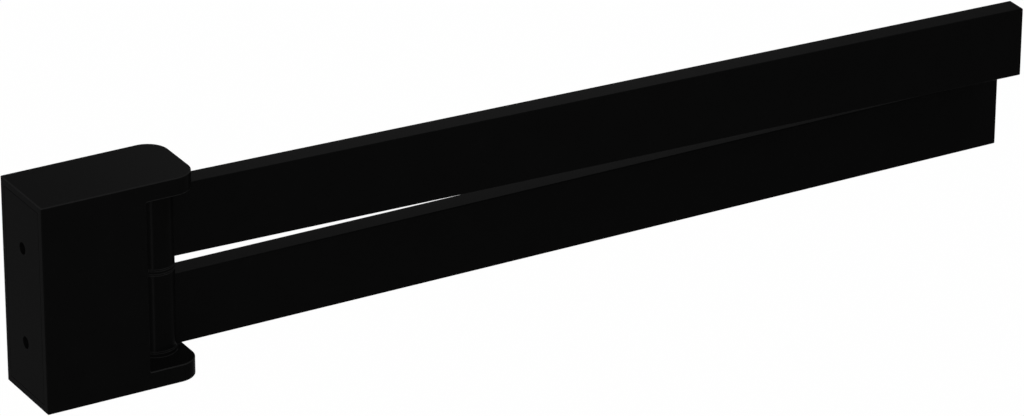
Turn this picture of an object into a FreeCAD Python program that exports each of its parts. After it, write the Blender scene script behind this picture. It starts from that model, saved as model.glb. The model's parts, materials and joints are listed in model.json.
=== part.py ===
"""Swivel towel rail: a fork block on a hidden wall plate carries two flat bars on one hinge pin.

Frame: the wall is the plane y = 0 and the rail stands out towards -Y, +Z is up, and the origin is
the middle of the wall face, halfway between the two wall screws. All lengths are in millimetres.
"""
import FreeCAD, Part
import os
import Sketcher

# Driving sizes: name, value, what it measures.
SIZES = (
    ("block_width", 35.7, "fork block, side to side"),
    ("web_depth", 44.4, "wall to the floor of the notch"),
    ("hinge_setback", 11.0, "floor of the notch to the hinge axis"),
    ("nose_length", 11.8, "hinge axis to the front of the lugs"),
    ("lug_thickness", 7.5, "each lug of the fork"),
    ("corner_radius", 9.2, "upright front corners of the fork"),
    ("notch_radius", 0.5, "inner corners of the notch"),
    ("edge_radius", 0.4, "broken outer edges under the coat"),
    ("plate_rim", 3.0, "block wall left around the wall plate"),
    ("plate_thickness", 3.0, "flange of the wall plate"),
    ("plate_clearance", 0.15, "gap around the wall plate and its boss"),
    ("boss_width", 20.0, "boss of the wall plate, side to side"),
    ("boss_depth", 8.0, "boss of the wall plate, beyond its flange"),
    ("boss_margin", 10.0, "each screw to the end of the boss"),
    ("screw_spacing", 40.0, "between the two wall screws"),
    ("screw_hole_diameter", 5.0, "wall screw holes"),
    ("screw_head_diameter", 9.6, "mouth of the countersinks"),
    ("screw_head_angle", 90.0, "countersinks, in degrees"),
    ("grub_diameter", 5.0, "grub screw of the bracket"),
    ("grub_recess", 2.0, "underside of the block to the grub screw"),
    ("grub_flats", 2.5, "socket of the grub screw, across flats"),
    ("grub_bite", 1.5, "depth that the grub screw enters the boss"),
    ("pin_diameter", 8.0, "hinge pin"),
    ("pin_chamfer", 0.5, "ends of the hinge pin"),
    ("lug_skin", 3.0, "upper lug left above the pin"),
    ("plug_ledge", 1.5, "plug beyond the pin, all round"),
    ("plug_thickness", 3.0, "plug under the hinge pin"),
    ("plug_recess", 0.4, "underside of the lug to the plug"),
    ("plug_flats", 5.0, "socket of the plug, across flats"),
    ("socket_depth", 2.0, "hexagon sockets of all screws"),
    ("bush_wall", 1.0, "sleeve of each bush"),
    ("bush_length", 9.0, "sleeve of each bush inside the barrel"),
    ("flange_thickness", 0.7, "flange of each bush"),
    ("barrel_wall", 3.28, "hinge barrel around its bushes"),
    ("washer_lip", 0.05, "washers beyond the barrel, all round"),
    ("top_washer_thickness", 1.0, "washer under the upper lug"),
    ("middle_washer_thickness", 1.2, "washer between the arms"),
    ("bottom_washer_thickness", 1.8, "washer on the lower lug"),
    ("washer_foot_thickness", 0.4, "wider foot of the washer on the lower lug"),
    ("washer_foot_lip", 0.4, "foot beyond that washer, all round"),
    ("running_clearance", 0.05, "each gap between turning faces"),
    ("seat_clearance", 0.02, "each gap of a tight seat"),
    ("projection", 450.0, "wall to the end of a bar that points straight out"),
    ("bar_height", 30.0, "bar section, upright"),
    ("bar_thickness", 10.0, "bar section, flat"),
    ("bar_wall", 1.5, "wall of the bar's tube"),
    ("bar_margin", 0.05, "outer end of the barrel to the bar's edge"),
    ("bar_step", 3.25, "bar's edge to the inner end of the arm's hinge"),
    ("neck_length", 2.2, "barrel to the butt joint of the bar"),
    ("core_clearance", 0.05, "gap around the tenon and the cap's plug"),
    ("cap_thickness", 2.0, "visible plate of the end cap"),
    ("cap_plug_length", 8.0, "plug of the end cap inside the bar"),
    ("cap_plug_wall", 1.2, "wall of the end cap's hollow plug"),
    ("bar_screw_diameter", 4.0, "set screws of the bar"),
    ("bar_screw_length", 6.0, "set screws of the bar"),
    ("bar_screw_recess", 0.3, "underside of the bar to its set screws"),
    ("bar_screw_flats", 2.0, "sockets of the set screws, across flats"),
    ("bar_screw_inset", 10.0, "butt joint to the first set screw"),
    ("bar_screw_pitch", 14.0, "between the two set screws"),
    ("tenon_tail", 10.0, "second set screw to the end of the tenon"),
    ("upper_swing", 2.44, "turn of the upper arm from straight out, in degrees"),
    ("overrun", 1.0, "how far a cut runs past a face"),
)

# Sizes that follow from the driving ones: name, formula, what it measures.
DERIVED = (
    ("pivot_distance", "web_depth + hinge_setback", "wall to the hinge axis"),
    ("block_depth", "pivot_distance + nose_length", "fork block, wall to front"),
    ("bar_inset", "flange_thickness + bar_margin", "outer end of the arm's hinge to the bar's edge"),
    ("arm_height", "bar_inset + bar_height + bar_step", "hinge barrel with both bush flanges"),
    ("barrel_height", "arm_height - 2 * flange_thickness", "hinge barrel"),
    ("lower_washer_gap", "bottom_washer_thickness + running_clearance", "lower lug to the lower arm"),
    ("middle_washer_gap", "middle_washer_thickness + 2 * running_clearance", "lower arm to the upper arm"),
    ("upper_washer_gap", "top_washer_thickness + running_clearance", "upper arm to the upper lug"),
    ("washer_gaps", "lower_washer_gap + middle_washer_gap + upper_washer_gap", "notch not filled by arms"),
    ("notch_half", "arm_height + washer_gaps / 2", "half the height of the notch"),
    ("block_height", "2 * notch_half + 2 * lug_thickness", "fork block, bottom to top"),
    ("lower_arm_floor", "lower_washer_gap - notch_half", "underside of the lower arm"),
    ("middle_washer_base", "lower_arm_floor + arm_height + running_clearance", "underside of the washer"),
    ("upper_arm_floor", "notch_half - upper_washer_gap - arm_height", "underside of the upper arm"),
    ("top_washer_base", "notch_half - top_washer_thickness", "underside of the upper washer"),
    ("lower_bar_base", "bar_inset", "lower arm's underside to its bar"),
    ("upper_bar_base", "bar_step", "upper arm's underside to its bar"),
    ("plate_width", "block_width - 2 * plate_rim - 2 * plate_clearance", "flange of the wall plate"),
    ("plate_height", "block_height - 2 * plate_rim - 2 * plate_clearance", "flange of the wall plate"),
    ("boss_height", "screw_spacing + 2 * boss_margin", "boss of the wall plate, bottom to top"),
    ("grub_setback", "plate_thickness + boss_depth / 2", "wall to the axis of the grub screw"),
    ("grub_length", "(block_height - boss_height) / 2 + grub_bite - grub_recess", "grub screw"),
    ("pin_seat_depth", "lug_thickness - lug_skin", "blind bore for the pin in the upper lug"),
    ("pin_top", "notch_half + pin_seat_depth - seat_clearance", "upper end of the pin"),
    ("plug_base", "plug_recess - block_height / 2", "underside of the plug"),
    ("plug_diameter", "pin_diameter + 2 * plug_ledge", "plug under the hinge pin"),
    ("pin_base", "plug_base + plug_thickness", "lower end of the pin"),
    ("washer_bore", "pin_diameter + 2 * running_clearance", "hole of washers and bushes"),
    ("bush_diameter", "washer_bore + 2 * bush_wall", "sleeve of a bush, outside"),
    ("barrel_bore", "bush_diameter + 2 * seat_clearance", "bore of a hinge barrel"),
    ("knuckle_diameter", "barrel_bore + 2 * barrel_wall", "hinge barrel, outside"),
    ("washer_diameter", "knuckle_diameter + 2 * washer_lip", "thrust washers"),
    ("bar_start", "knuckle_diameter / 2 + neck_length", "hinge axis to the butt joint of the bar"),
    ("bar_length", "projection - pivot_distance - bar_start - cap_thickness", "tube of each bar"),
    ("bar_end", "bar_start + bar_length", "hinge axis to the end of the tube"),
    ("core_thickness", "bar_thickness - 2 * bar_wall", "hollow of the tube"),
    ("core_height", "bar_height - 2 * bar_wall", "hollow of the tube"),
    ("core_fit_thickness", "core_thickness - 2 * core_clearance", "tenon and cap plug"),
    ("core_fit_height", "core_height - 2 * core_clearance", "tenon and cap plug"),
    ("tenon_length", "bar_screw_inset + bar_screw_pitch + tenon_tail", "tenon inside the bar"),
    ("bar_screw_depth", "bar_screw_recess + bar_screw_length + seat_clearance", "tapped hole of a screw"),
)

# Edges are told apart by where they lie, to within this share of their length.
NEAR_SHARE = 1e-4

doc = FreeCAD.newDocument("double_towel_bar")
sheet = doc.addObject("Spreadsheet::Sheet", "Sizes")


def fill_sheet():
    """Writes the driving sizes as numbers and the derived ones as formulas, each under its name."""
    cells = [(name, str(amount), note) for name, amount, note in SIZES]
    cells += [(name, "=" + formula, note) for name, formula, note in DERIVED]
    for row, (name, content, note) in enumerate(cells, 1):
        sheet.set(f"A{row}", name)
        sheet.set(f"B{row}", content)
        sheet.setAlias(f"B{row}", name)
        sheet.set(f"C{row}", note)
    doc.recompute()


def amount_of(formula):
    """The present value of a formula over the sheet."""
    return float(sheet.evalExpression(formula))


def bind(item, formulas):
    """Ties properties of a document object to formulas over the sheet."""
    for name, formula in formulas.items():
        item.setExpression(name, formula)


def place(item, x="0", y="0", z="0", turn="0"):
    """Sets an object down at a point, turned about the upright axis."""
    item.Placement = FreeCAD.Placement(FreeCAD.Vector(), FreeCAD.Rotation(FreeCAD.Vector(0, 0, 1), 0))
    bind(item, {
        "Placement.Base.x": x,
        "Placement.Base.y": y,
        "Placement.Base.z": z,
        "Placement.Rotation.Angle": turn,
    })


def new_body(label):
    body = doc.addObject("PartDesign::Body", label)
    body.Label = label
    return body


def new_sketch(body, name, plane, offset="0"):
    """A sketch on one of the body's own origin planes, moved along that plane's normal."""
    sketch = body.newObject("Sketcher::SketchObject", name)
    support = next(item for item in body.Origin.OriginFeatures if item.Role == plane)
    sketch.AttachmentSupport = [(support, "")]
    sketch.MapMode = "FlatFace"
    bind(sketch, {"AttachmentOffset.Base.z": offset})
    return sketch


def dimension(sketch, name, kind, elements, formula):
    """Adds a named dimension that a formula drives."""
    index = sketch.addConstraint(Sketcher.Constraint(kind, *elements, amount_of(formula)))
    sketch.renameConstraint(index, name)
    bind(sketch, {"Constraints." + name: formula})


def outline(sketch, tag, points):
    """A closed outline through points that formulas place."""
    corners = [FreeCAD.Vector(amount_of(x), amount_of(y)) for x, y in points]
    first = sketch.GeometryCount
    count = len(corners)
    for index, corner in enumerate(corners):
        sketch.addGeometry(Part.LineSegment(corner, corners[(index + 1) % count]))
    for index, (x, y) in enumerate(points):
        following = (index + 1) % count
        sketch.addConstraint(Sketcher.Constraint("Coincident", first + index, 2, first + following, 1))
        dimension(sketch, f"{tag}_x{index}", "DistanceX", (-1, 1, first + index, 1), x)
        dimension(sketch, f"{tag}_y{index}", "DistanceY", (-1, 1, first + index, 1), y)


def rectangle(sketch, tag, left, bottom, width, height):
    """A rectangle from its lower left corner."""
    right = f"{left} + {width}"
    top = f"{bottom} + {height}"
    outline(sketch, tag, [(left, bottom), (right, bottom), (right, top), (left, top)])


def circle(sketch, tag, diameter, x="0", y="0"):
    centre = FreeCAD.Vector(amount_of(x), amount_of(y))
    index = sketch.addGeometry(Part.Circle(centre, FreeCAD.Vector(0, 0, 1), amount_of(diameter) / 2))
    dimension(sketch, tag + "_x", "DistanceX", (-1, 1, index, 3), x)
    dimension(sketch, tag + "_y", "DistanceY", (-1, 1, index, 3), y)
    dimension(sketch, tag + "_size", "Diameter", (index,), diameter)


def pad(body, name, sketch, length, midplane=False):
    feature = body.newObject("PartDesign::Pad", name)
    feature.Profile = sketch
    feature.Midplane = midplane
    bind(feature, {"Length": length})
    return feature


def pocket(body, name, sketch, length, midplane=False, forward=False):
    """Cuts against the sketch's normal, or along it when forward."""
    feature = body.newObject("PartDesign::Pocket", name)
    feature.Profile = sketch
    feature.Midplane = midplane
    feature.Reversed = forward
    bind(feature, {"Length": length})
    return feature


def turned(body, name, points):
    """A solid of revolution about the body's upright axis, from points of radius and height."""
    sketch = new_sketch(body, name + "Profile", "XZ_Plane")
    outline(sketch, "profile", points)
    feature = body.newObject("PartDesign::Revolution", name)
    feature.Profile = sketch
    feature.ReferenceAxis = (sketch, ["V_Axis"])
    return feature


def rounded(body, name, base, radius, chosen):
    """Rounds those edges of the base feature that the test picks."""
    doc.recompute()
    edges = [f"Edge{index}" for index, edge in enumerate(base.Shape.Edges, 1) if chosen(edge)]
    feature = body.newObject("PartDesign::Fillet", name)
    feature.Base = (base, edges)
    bind(feature, {"Radius": radius})
    return feature


def lies_at(edge, axis, formula):
    """Whether a whole edge lies in the plane where that coordinate has the formula's value."""
    level = amount_of(formula)
    low = getattr(edge.BoundBox, axis + "Min")
    high = getattr(edge.BoundBox, axis + "Max")
    return max(abs(low - level), abs(high - level)) < edge.Length * NEAR_SHARE


def lies_on_lug(edge):
    return lies_at(edge, "Z", "Sizes.notch_half") or lies_at(edge, "Z", "-Sizes.notch_half")


def is_bore(edge):
    return edge.isClosed()


def is_arc(edge):
    return edge.Curve.TypeId == "Part::GeomCircle"


def is_bar_edge(edge):
    """Whether an edge runs along the bar at one of its four outer corners."""
    along = edge.BoundBox.YLength > edge.Length / 2
    half = "Sizes.bar_thickness / 2"
    return along and (lies_at(edge, "X", half) or lies_at(edge, "X", "-" + half))


def ring(label, outer, inner, thickness):
    body = new_body(label)
    sketch = new_sketch(body, label + "_section", "XY_Plane")
    circle(sketch, "outer", outer)
    circle(sketch, "inner", inner)
    pad(body, label + "_pad", sketch, thickness)
    return body


def fork_block():
    """The block: fork lugs at the front, pocket for the wall plate, seats for the pin and screws."""
    body = new_body("fork_block")
    plan = new_sketch(body, "BlockPlan", "XY_Plane")
    rectangle(plan, "block", "-Sizes.block_width / 2", "-Sizes.block_depth", "Sizes.block_width",
              "Sizes.block_depth")
    blank = pad(body, "BlockBlank", plan, "Sizes.block_height", midplane=True)
    rounded(body, "FrontCorners", blank, "Sizes.corner_radius",
            lambda edge: lies_at(edge, "Y", "-Sizes.block_depth") and edge.BoundBox.XLength < edge.Length / 2)

    side = new_sketch(body, "NotchSide", "YZ_Plane")
    rectangle(side, "notch", "-Sizes.block_depth - Sizes.overrun", "-Sizes.notch_half",
              "Sizes.block_depth - Sizes.web_depth + Sizes.overrun", "2 * Sizes.notch_half")
    notch = pocket(body, "Notch", side, "Sizes.block_width + 2 * Sizes.overrun", midplane=True)
    rounded(body, "NotchCorners", notch, "Sizes.notch_radius",
            lambda edge: lies_at(edge, "Y", "-Sizes.web_depth") and lies_on_lug(edge))

    mouth = new_sketch(body, "PlateSeatSection", "XZ_Plane")
    rectangle(mouth, "seat", "-Sizes.block_width / 2 + Sizes.plate_rim",
              "-Sizes.block_height / 2 + Sizes.plate_rim", "Sizes.block_width - 2 * Sizes.plate_rim",
              "Sizes.block_height - 2 * Sizes.plate_rim")
    pocket(body, "PlateSeat", mouth, "Sizes.plate_thickness", forward=True)
    well = new_sketch(body, "BossWellSection", "XZ_Plane")
    rectangle(well, "well", "-Sizes.boss_width / 2 - Sizes.plate_clearance",
              "-Sizes.boss_height / 2 - Sizes.plate_clearance",
              "Sizes.boss_width + 2 * Sizes.plate_clearance",
              "Sizes.boss_height + 2 * Sizes.plate_clearance")
    pocket(body, "BossWell", well, "Sizes.plate_thickness + Sizes.boss_depth + Sizes.plate_clearance",
           forward=True)

    upper_bore = new_sketch(body, "UpperPinBore", "XY_Plane")
    circle(upper_bore, "bore", "Sizes.pin_diameter + 2 * Sizes.seat_clearance", y="-Sizes.pivot_distance")
    pocket(body, "UpperPinSeat", upper_bore, "Sizes.notch_half + Sizes.pin_seat_depth", forward=True)
    lower_bore = new_sketch(body, "LowerPinBore", "XY_Plane")
    circle(lower_bore, "bore", "Sizes.pin_diameter + 2 * Sizes.seat_clearance", y="-Sizes.pivot_distance")
    pocket(body, "LowerPinSeat", lower_bore, "Sizes.block_height")
    plug_bore = new_sketch(body, "PlugBore", "XY_Plane", "-Sizes.block_height / 2")
    circle(plug_bore, "bore", "Sizes.plug_diameter + 2 * Sizes.seat_clearance", y="-Sizes.pivot_distance")
    pocket(body, "PlugSeat", plug_bore, "Sizes.plug_recess + Sizes.plug_thickness", forward=True)
    grub_bore = new_sketch(body, "GrubBore", "XY_Plane", "-Sizes.block_height / 2")
    circle(grub_bore, "bore", "Sizes.grub_diameter + 2 * Sizes.seat_clearance", y="-Sizes.grub_setback")
    last = pocket(body, "GrubSeat", grub_bore, "Sizes.block_height / 2 - Sizes.boss_height / 2", forward=True)

    def outer_edge(edge):
        on_end = lies_at(edge, "Z", "Sizes.block_height / 2") or lies_at(edge, "Z", "-Sizes.block_height / 2")
        across = edge.BoundBox.YLength < edge.Length * NEAR_SHARE
        on_lug = lies_on_lug(edge) and (not across or lies_at(edge, "Y", "-Sizes.block_depth"))
        on_side = lies_at(edge, "X", "Sizes.block_width / 2") or lies_at(edge, "X", "-Sizes.block_width / 2")
        on_web = on_side and (lies_at(edge, "Y", "-Sizes.web_depth") or is_arc(edge))
        on_back = on_side and lies_at(edge, "Y", "0")
        return not is_bore(edge) and (on_end or on_lug or on_web or on_back)

    rounded(body, "OuterEdges", last, "Sizes.edge_radius", outer_edge)
    return body


def wall_plate():
    """The plate on the wall: its flange fills the block's back, its boss carries the block."""
    body = new_body("wall_plate")
    flange = new_sketch(body, "FlangeSection", "XZ_Plane")
    rectangle(flange, "flange", "-Sizes.plate_width / 2", "-Sizes.plate_height / 2", "Sizes.plate_width",
              "Sizes.plate_height")
    pad(body, "Flange", flange, "Sizes.plate_thickness")
    boss = new_sketch(body, "BossSection", "XZ_Plane", "Sizes.plate_thickness")
    rectangle(boss, "boss", "-Sizes.boss_width / 2", "-Sizes.boss_height / 2", "Sizes.boss_width",
              "Sizes.boss_height")
    pad(body, "Boss", boss, "Sizes.boss_depth")
    bite = new_sketch(body, "GrubBite", "XY_Plane", "-Sizes.boss_height / 2")
    circle(bite, "bite", "Sizes.grub_diameter + 2 * Sizes.seat_clearance", y="-Sizes.grub_setback")
    pocket(body, "GrubDimple", bite, "Sizes.grub_bite", forward=True)

    centres = new_sketch(body, "ScrewCentres", "XZ_Plane", "Sizes.plate_thickness + Sizes.boss_depth")
    for tag, height in (("upper", "Sizes.screw_spacing / 2"), ("lower", "-Sizes.screw_spacing / 2")):
        circle(centres, tag, "Sizes.screw_hole_diameter", y=height)
    doc.recompute()
    holes = body.newObject("PartDesign::Hole", "ScrewHoles")
    holes.Profile = centres
    holes.DepthType = "ThroughAll"
    holes.HoleCutType = "Countersink"
    holes.HoleCutCustomValues = True
    bind(holes, {
        "Diameter": "Sizes.screw_hole_diameter",
        "HoleCutDiameter": "Sizes.screw_head_diameter",
        "HoleCutCountersinkAngle": "Sizes.screw_head_angle",
    })
    return body


def socket_screw(label, diameter, length, flats):
    """A headless screw along +Z with a hexagon socket in its lower end."""
    shank = doc.addObject("Part::Cylinder", label + "_shank")
    bind(shank, {"Radius": diameter + " / 2", "Height": length})
    socket = doc.addObject("Part::Prism", label + "_socket")
    socket.Polygon = 6
    bind(socket, {"Circumradius": flats + " / sqrt(3)", "Height": "Sizes.socket_depth"})
    screw = doc.addObject("Part::Cut", label)
    screw.Base = shank
    screw.Tool = socket
    screw.Label = label
    return screw


def bracket_grub_screw():
    screw = socket_screw("bracket_grub_screw", "Sizes.grub_diameter", "Sizes.grub_length", "Sizes.grub_flats")
    place(screw, y="-Sizes.grub_setback", z="Sizes.grub_recess - Sizes.block_height / 2")
    return screw


def pin_plug():
    plug = socket_screw("pin_plug", "Sizes.plug_diameter", "Sizes.plug_thickness", "Sizes.plug_flats")
    place(plug, y="-Sizes.pivot_distance", z="Sizes.plug_base")
    return plug


def hinge_pin():
    body = new_body("hinge_pin")
    radius = "Sizes.pin_diameter / 2"
    neck = "Sizes.pin_diameter / 2 - Sizes.pin_chamfer"
    turned(body, "Pin", [
        ("0", "Sizes.pin_base"),
        (neck, "Sizes.pin_base"),
        (radius, "Sizes.pin_base + Sizes.pin_chamfer"),
        (radius, "Sizes.pin_top - Sizes.pin_chamfer"),
        (neck, "Sizes.pin_top"),
        ("0", "Sizes.pin_top"),
    ])
    place(body, y="-Sizes.pivot_distance")
    return body


def thrust_washers():
    """Three washers on the pin: under the upper lug, between the arms and, with a foot, on the lower lug."""
    rows = (
        ("top_washer", "Sizes.top_washer_thickness", "Sizes.top_washer_base"),
        ("middle_washer", "Sizes.middle_washer_thickness", "Sizes.middle_washer_base"),
        ("bottom_washer", "Sizes.bottom_washer_thickness", "-Sizes.notch_half"),
    )
    washers = []
    for label, thickness, base in rows:
        washer = ring(label, "Sizes.washer_diameter", "Sizes.washer_bore", thickness)
        place(washer, y="-Sizes.pivot_distance", z=base)
        washers.append(washer)
    foot = new_sketch(washers[-1], "bottom_washer_foot_section", "XY_Plane")
    circle(foot, "outer", "Sizes.washer_diameter + 2 * Sizes.washer_foot_lip")
    circle(foot, "inner", "Sizes.washer_bore")
    pad(washers[-1], "bottom_washer_foot", foot, "Sizes.washer_foot_thickness")
    return washers


def bar_screw_places():
    """Distances of the set screws from the hinge axis."""
    first = "Sizes.bar_start + Sizes.bar_screw_inset"
    return [first, first + " + Sizes.bar_screw_pitch"]


def bar_screw_holes(body, name, bar_base, depth):
    """Holes for the set screws, drilled up from the underside of the bar."""
    sketch = new_sketch(body, name + "Centres", "XY_Plane", bar_base)
    diameter = "Sizes.bar_screw_diameter + 2 * Sizes.seat_clearance"
    for index, distance in enumerate(bar_screw_places()):
        circle(sketch, f"screw{index}", diameter, y=f"-({distance})")
    return pocket(body, name, sketch, depth, forward=True)


def knuckle(label, bar_base):
    """Hinge barrel with a neck as large as the bar and a tenon that the bar is pushed on."""
    body = new_body(label)
    section = new_sketch(body, label + "_barrel_section", "XY_Plane", "Sizes.flange_thickness")
    circle(section, "barrel", "Sizes.knuckle_diameter")
    pad(body, label + "_barrel", section, "Sizes.barrel_height")
    neck = new_sketch(body, label + "_neck_section", "XZ_Plane")
    rectangle(neck, "neck", "-Sizes.bar_thickness / 2", bar_base, "Sizes.bar_thickness", "Sizes.bar_height")
    arm_root = pad(body, label + "_neck", neck, "Sizes.bar_start")
    rounded(body, label + "_neck_edges", arm_root, "Sizes.edge_radius", is_bar_edge)
    tenon = new_sketch(body, label + "_tenon_section", "XZ_Plane", "Sizes.bar_start")
    rectangle(tenon, "tenon", "-Sizes.core_fit_thickness / 2",
              f"{bar_base} + Sizes.bar_wall + Sizes.core_clearance", "Sizes.core_fit_thickness",
              "Sizes.core_fit_height")
    pad(body, label + "_tenon", tenon, "Sizes.tenon_length")
    bore = new_sketch(body, label + "_bore_section", "XY_Plane")
    circle(bore, "bore", "Sizes.barrel_bore")
    pocket(body, label + "_bore", bore, "Sizes.arm_height", forward=True)
    bar_screw_holes(body, label + "_tapped_holes", bar_base, "Sizes.bar_screw_depth")
    return body


def bar(label, bar_base):
    """Rectangular tube with rounded long edges and two holes in its underside."""
    body = new_body(label)
    section = new_sketch(body, label + "_section", "XZ_Plane", "Sizes.bar_start")
    rectangle(section, "outside", "-Sizes.bar_thickness / 2", bar_base, "Sizes.bar_thickness",
              "Sizes.bar_height")
    rectangle(section, "inside", "-Sizes.core_thickness / 2", f"{bar_base} + Sizes.bar_wall",
              "Sizes.core_thickness", "Sizes.core_height")
    tube = pad(body, label + "_tube", section, "Sizes.bar_length")
    rounded(body, label + "_edges", tube, "Sizes.edge_radius", is_bar_edge)
    bar_screw_holes(body, label + "_holes", bar_base, "Sizes.bar_wall + Sizes.overrun")
    return body


def end_cap(label, bar_base):
    """Cap with the outline of the bar and a hollow plug that sits in the tube."""
    body = new_body(label)
    plug = new_sketch(body, label + "_plug_section", "XZ_Plane", "Sizes.bar_end - Sizes.cap_plug_length")
    rectangle(plug, "plug", "-Sizes.core_fit_thickness / 2",
              f"{bar_base} + Sizes.bar_wall + Sizes.core_clearance", "Sizes.core_fit_thickness",
              "Sizes.core_fit_height")
    rectangle(plug, "hollow", "-Sizes.core_fit_thickness / 2 + Sizes.cap_plug_wall",
              f"{bar_base} + Sizes.bar_wall + Sizes.core_clearance + Sizes.cap_plug_wall",
              "Sizes.core_fit_thickness - 2 * Sizes.cap_plug_wall",
              "Sizes.core_fit_height - 2 * Sizes.cap_plug_wall")
    pad(body, label + "_plug", plug, "Sizes.cap_plug_length")
    plate = new_sketch(body, label + "_plate_section", "XZ_Plane", "Sizes.bar_end")
    rectangle(plate, "plate", "-Sizes.bar_thickness / 2", bar_base, "Sizes.bar_thickness", "Sizes.bar_height")
    face = pad(body, label + "_plate", plate, "Sizes.cap_thickness")
    rounded(body, label + "_edges", face, "Sizes.edge_radius",
            lambda edge: lies_at(edge, "Y", "-Sizes.bar_end - Sizes.cap_thickness"))
    return body


def bush(label, upwards):
    """Flanged bush: the flange lies on the end of the barrel, the sleeve goes into its bore."""
    body = new_body(label)
    sign = "" if upwards else "-"
    bore = "Sizes.washer_bore / 2"
    sleeve = "Sizes.bush_diameter / 2"
    rim = "Sizes.knuckle_diameter / 2"
    top = f"{sign}(Sizes.flange_thickness + Sizes.bush_length)"
    turned(body, label + "_turning", [
        (bore, "0"),
        (rim, "0"),
        (rim, f"{sign}Sizes.flange_thickness"),
        (sleeve, f"{sign}Sizes.flange_thickness"),
        (sleeve, top),
        (bore, top),
    ])
    return body


def bar_screws(label, bar_base):
    """The two set screws of a bar, side by side in one group."""
    screws = []
    for index, distance in enumerate(bar_screw_places()):
        screw = socket_screw(f"{label}_{index}", "Sizes.bar_screw_diameter", "Sizes.bar_screw_length",
                             "Sizes.bar_screw_flats")
        place(screw, y=f"-({distance})", z=f"{bar_base} + Sizes.bar_screw_recess")
        screws.append(screw)
    group = doc.addObject("Part::Compound", label)
    group.Links = screws
    group.Label = label
    return group


def arm(side, floor, bar_base, turn):
    """One swinging arm, built about the hinge axis and then set down on its washer."""
    upper_bush = bush(side + "_bush_top", upwards=False)
    lower_bush = bush(side + "_bush_bottom", upwards=True)
    pieces = [
        knuckle(side + "_knuckle", bar_base),
        bar(side + "_bar", bar_base),
        end_cap(side + "_end_cap", bar_base),
        bar_screws(side + "_bar_screws", bar_base),
        lower_bush,
    ]
    for piece in pieces:
        place(piece, y="-Sizes.pivot_distance", z=floor, turn=turn)
    place(upper_bush, y="-Sizes.pivot_distance", z=f"{floor} + Sizes.arm_height", turn=turn)
    return pieces + [upper_bush]


def check(pieces):
    """Stops if anything in the document failed or a piece is not a sound solid."""
    failed = [item.Name for item in doc.Objects if {"Invalid", "Error"} & set(item.State)]
    if failed:
        raise RuntimeError("failed objects: " + ", ".join(failed))
    for piece in pieces:
        if piece.Shape.isNull() or not piece.Shape.isValid() or not piece.Shape.Solids:
            raise RuntimeError("no sound solid: " + piece.Label)


fill_sheet()
rail = [fork_block(), wall_plate(), bracket_grub_screw(), hinge_pin(), pin_plug(), *thrust_washers()]
rail += arm("lower", "Sizes.lower_arm_floor", "Sizes.lower_bar_base", "0")
rail += arm("upper", "Sizes.upper_arm_floor", "Sizes.upper_bar_base", "-Sizes.upper_swing")
doc.recompute()
check(rail)
os.makedirs("parts", exist_ok=True)
for piece in rail:
    piece.Shape.exportStep(f"parts/{piece.Label}.step")
    print(f"{piece.Label}: {len(piece.Shape.Solids)} solid, {piece.Shape.Volume:.1f} cubic mm")
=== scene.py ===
"""Swivel towel rail, dressed for its picture: a black fork block on the wall and two flat bars on one hinge.

All lengths are in metres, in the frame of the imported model: the wall is the plane y = 0, the rail stands
out from it along -Y, and +Z is up.
"""
import json
import math

import bmesh
import bpy
from bpy.props import FloatProperty, FloatVectorProperty, PointerProperty
from bpy.types import Node, NodeSocket, Operator, Panel, PropertyGroup
from mathutils import Matrix, Vector


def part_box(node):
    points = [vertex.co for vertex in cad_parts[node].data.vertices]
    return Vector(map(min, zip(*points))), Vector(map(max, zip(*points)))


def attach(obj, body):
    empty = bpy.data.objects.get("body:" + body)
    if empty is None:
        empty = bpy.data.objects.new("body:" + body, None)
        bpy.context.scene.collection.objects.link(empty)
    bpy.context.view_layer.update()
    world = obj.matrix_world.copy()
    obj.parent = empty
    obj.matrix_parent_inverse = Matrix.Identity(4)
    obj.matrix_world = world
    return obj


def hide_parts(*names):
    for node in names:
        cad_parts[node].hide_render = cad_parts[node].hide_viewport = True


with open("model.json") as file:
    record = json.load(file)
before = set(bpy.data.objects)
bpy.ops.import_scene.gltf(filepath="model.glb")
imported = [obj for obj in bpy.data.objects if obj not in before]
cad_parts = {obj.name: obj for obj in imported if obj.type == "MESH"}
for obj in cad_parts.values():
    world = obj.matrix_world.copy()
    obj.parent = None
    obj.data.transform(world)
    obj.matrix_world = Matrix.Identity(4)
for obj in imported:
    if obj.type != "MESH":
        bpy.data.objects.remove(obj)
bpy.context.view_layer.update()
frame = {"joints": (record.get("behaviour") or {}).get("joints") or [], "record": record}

bl_info = {
    "name": "Swivel Towel Rail",
    "version": (1, 0, 0),
    "blender": (4, 5, 0),
    "location": "3D View > Sidebar > Towel Rail",
    "description": "Builds the visible pieces of a two-arm swivel towel rail on its packed model",
    "category": "Object",
}

MM = 0.001
X, Y, Z = range(3)
SIDES = ("lower", "upper")
FLAT_WASHERS = ("top", "middle")
SET_SCREWS = 2        # in each arm
JOINTS = {joint["name"]: joint for joint in frame["joints"]}
MOUNTS = {mount["name"]: mount for mount in frame["record"]["mounts"]}
SCREW_PATTERN = MOUNTS["wall_screws"]["dims"]
HINGE = Vector(JOINTS["lower_arm_swing"]["pos_m"])
BAR, CAP, KNUCKLE = (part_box("lower_" + node) for node in ("bar", "end_cap", "knuckle"))

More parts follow.
